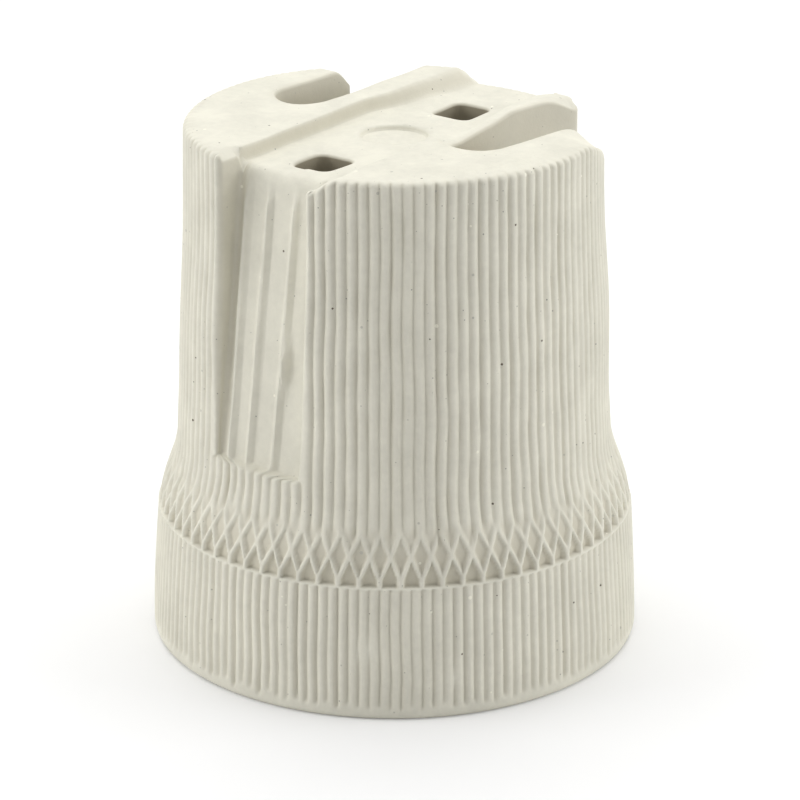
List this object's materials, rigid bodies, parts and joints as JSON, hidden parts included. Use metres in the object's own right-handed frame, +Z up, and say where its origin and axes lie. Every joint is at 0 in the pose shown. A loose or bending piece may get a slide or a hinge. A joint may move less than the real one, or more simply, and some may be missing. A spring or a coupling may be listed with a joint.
{
  "type": "lamp holder",
  "caption": "Bare fluted porcelain lamp holder for an E27 lamp, with a rolled screw shell, a sprung centre contact and two side-entry screw terminals.",
  "frame": {"origin": "centre of the mouth rim, on the face that the holder stands on", "axes": "+Z up the body from the lamp mouth to the terminal end; the bracket channel runs along X, with the bracket notch at -X and the wire slots opening towards +X"},
  "size_m": [0.0442, 0.0442, 0.0474],
  "materials": {
    "ceramic": "unglazed fired porcelain, matt",
    "shell_brass": "nickel-plated rolled brass",
    "brass": "plain brass",
    "bronze": "phosphor bronze spring strip",
    "steel": "zinc-plated steel"
  },
  "bodies": {
    "holder": {"ceramic_body": "ceramic", "screw_shell": "shell_brass", "line_strip": "brass", "line_terminal": "brass", "line_fixing_screw": "steel", "line_spring_washer": "steel", "neutral_terminal": "brass", "neutral_fixing_screw": "steel", "neutral_spring_washer": "steel"},
    "contact": {"centre_contact": "bronze", "contact_rivet": "brass"},
    "line_clamp": {"line_clamp_washer": "steel"},
    "line_screw": {"line_clamp_screw": "steel"},
    "neutral_clamp": {"neutral_clamp_washer": "steel"},
    "neutral_screw": {"neutral_clamp_screw": "steel"}
  },
  "joints": [
    {"name": "contact_flex", "type": "hinge", "parent": "holder", "child": "contact", "pos_m": [0.00162, 0.00681, 0.0344], "axis": [-0.9727, 0.232, 0], "range_deg": [0, 6], "stiffness_Nm_per_rad": 0.1},
    {"name": "line_clamp_travel", "type": "slide", "parent": "holder", "child": "line_clamp", "axis": [0, 0, 1], "range_m": [0, 0.00112]},
    {"name": "line_clamp_turn", "type": "hinge", "parent": "line_clamp", "child": "line_screw", "pos_m": [0.0076, 0.0113, 0.041], "axis": [0, 0, 1], "range_deg": [0, 900]},
    {"name": "neutral_clamp_travel", "type": "slide", "parent": "holder", "child": "neutral_clamp", "axis": [0, 0, 1], "range_m": [0, 0.00112]},
    {"name": "neutral_clamp_turn", "type": "hinge", "parent": "neutral_clamp", "child": "neutral_screw", "pos_m": [0.0076, -0.0087, 0.041], "axis": [0, 0, 1], "range_deg": [0, 900]}
  ],
  "couplings": [
    {"joint": "line_clamp_turn", "follows": "line_clamp_travel", "rad_per_m": 13963},
    {"joint": "neutral_clamp_turn", "follows": "neutral_clamp_travel", "rad_per_m": 13963}
  ]
}
